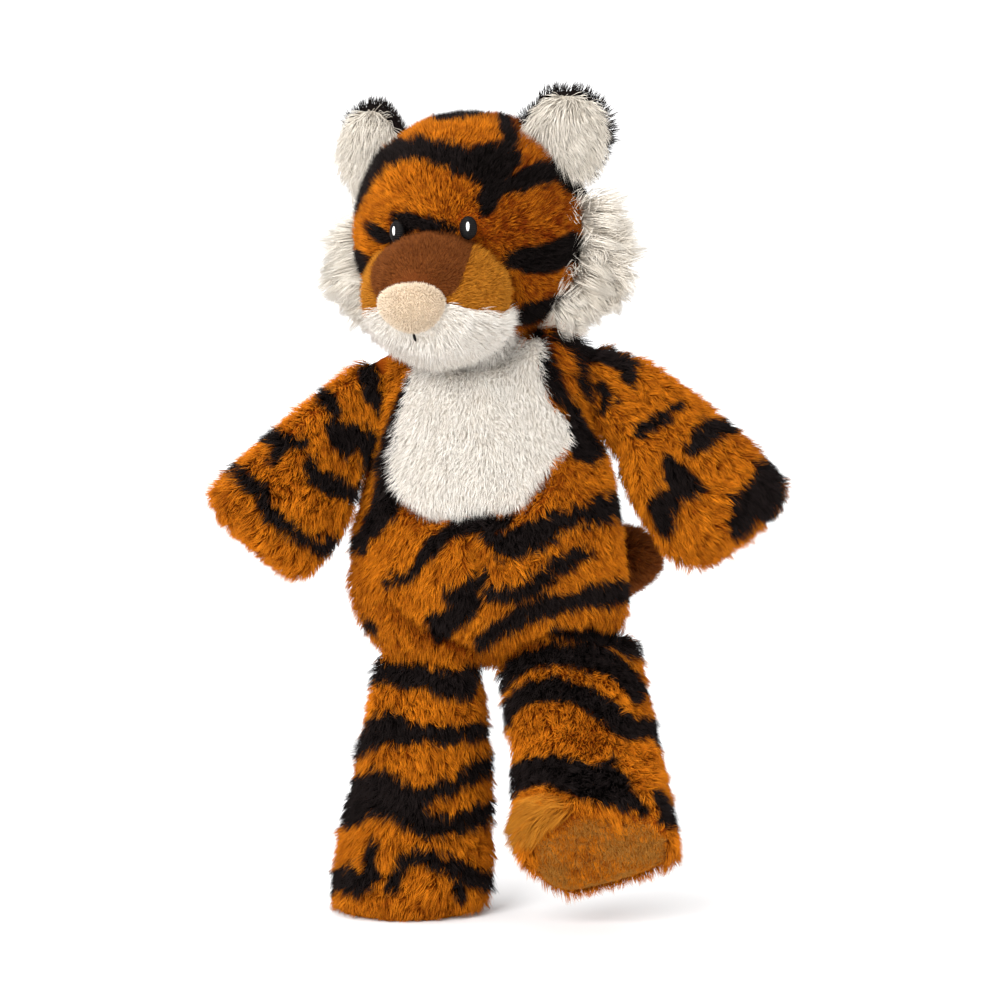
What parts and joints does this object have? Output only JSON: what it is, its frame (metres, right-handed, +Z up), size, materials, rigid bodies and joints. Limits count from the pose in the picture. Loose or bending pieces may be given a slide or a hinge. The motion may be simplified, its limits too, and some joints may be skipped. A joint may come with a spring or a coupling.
{
  "type": "plush tiger",
  "caption": "Standing soft toy tiger with striped limbs that swing at sewn seams, a turning and nodding head, floppy round ears and a curled tail stub",
  "frame": {"origin": "on the floor, under the middle of the bounding box", "axes": "+Z up, front of the toy towards -Y, the toy's own left side towards +X"},
  "size_m": [0.224, 0.1302, 0.328],
  "materials": {
    "orange_plush": "long-pile plush, orange with black stripes",
    "black_plush": "long-pile plush, black",
    "white_plush": "long-pile plush, white",
    "golden_plush": "medium-pile plush, golden",
    "brown_velour": "short-pile velour, brown",
    "peach_velour": "short-pile velour, peach",
    "tan_velour": "short-pile velour, golden tan",
    "brown_plush": "long-pile plush, dark brown",
    "embroidery": "satin-stitched thread, black",
    "fibre_fill": "loose polyester fibre"
  },
  "bodies": {
    "body": {"body_skin": "orange_plush", "belly_patch": "white_plush", "body_stuffing": "fibre_fill"},
    "neck": {"neck_stuffing": "fibre_fill"},
    "head": {"head_skin": "orange_plush", "head_stuffing": "fibre_fill", "nose_bridge": "brown_velour", "muzzle_right": "golden_plush", "muzzle_left": "golden_plush", "muzzle_chin": "white_plush", "nose": "peach_velour", "mouth_stitch": "embroidery", "eye_left": "embroidery", "eye_right": "embroidery", "cheek_ruff_left": "white_plush", "cheek_ruff_right": "white_plush"},
    "ear_left": {"ear_left_back": "black_plush", "ear_left_front": "white_plush"},
    "ear_right": {"ear_right_back": "black_plush", "ear_right_front": "white_plush"},
    "arm_left": {"arm_left_skin": "orange_plush", "arm_left_stuffing": "fibre_fill"},
    "arm_right": {"arm_right_skin": "orange_plush", "arm_right_stuffing": "fibre_fill"},
    "leg_left": {"leg_left_skin": "orange_plush", "leg_left_stuffing": "fibre_fill", "sole_left": "tan_velour"},
    "leg_right": {"leg_right_skin": "orange_plush", "leg_right_stuffing": "fibre_fill", "sole_right": "tan_velour"},
    "tail": {"tail_skin": "brown_plush", "tail_stuffing": "fibre_fill"}
  },
  "joints": [
    {"name": "neck_turn", "type": "hinge", "parent": "body", "child": "neck", "pos_m": [-0.00966, 0.01466, 0.22605], "axis": [-0.0349, 0, 0.9994], "range_deg": [-15, 40]},
    {"name": "head_nod", "type": "hinge", "parent": "neck", "child": "head", "pos_m": [-0.00966, 0.01466, 0.22605], "axis": [0.913, -0.4067, 0.0319], "range_deg": [-20, 10]},
    {"name": "ear_left_flop", "type": "hinge", "parent": "head", "child": "ear_left", "pos_m": [0.02049, -0.00312, 0.30352], "axis": [0.7642, -0.0518, -0.6429], "range_deg": [-20, 20]},
    {"name": "ear_right_flop", "type": "hinge", "parent": "head", "child": "ear_right", "pos_m": [-0.0475, 0.02717, 0.30115], "axis": [0.5109, -0.5162, 0.6874], "range_deg": [-20, 20]},
    {"name": "arm_left_swing", "type": "hinge", "parent": "body", "child": "arm_left", "pos_m": [0.03412, 0.01466, 0.2081], "axis": [-0.3731, 0, 0.9278], "range_deg": [-38, 20]},
    {"name": "arm_right_swing", "type": "hinge", "parent": "body", "child": "arm_right", "pos_m": [-0.04966, 0.01466, 0.20077], "axis": [0.2063, 0, 0.9785], "range_deg": [-35, 20]},
    {"name": "leg_left_swing", "type": "hinge", "parent": "body", "child": "leg_left", "pos_m": [0.03031, 0.01466, 0.10186], "axis": [1, 0, 0], "range_deg": [-32, 30]},
    {"name": "leg_right_swing", "type": "hinge", "parent": "body", "child": "leg_right", "pos_m": [-0.02757, 0.01466, 0.098], "axis": [1, 0, 0], "range_deg": [-60, 25]},
    {"name": "tail_wag", "type": "hinge", "parent": "body", "child": "tail", "pos_m": [0.00813, 0.04301, 0.12722], "axis": [-0.0872, 0, 0.9962], "range_deg": [-2, 50]}
  ]
}
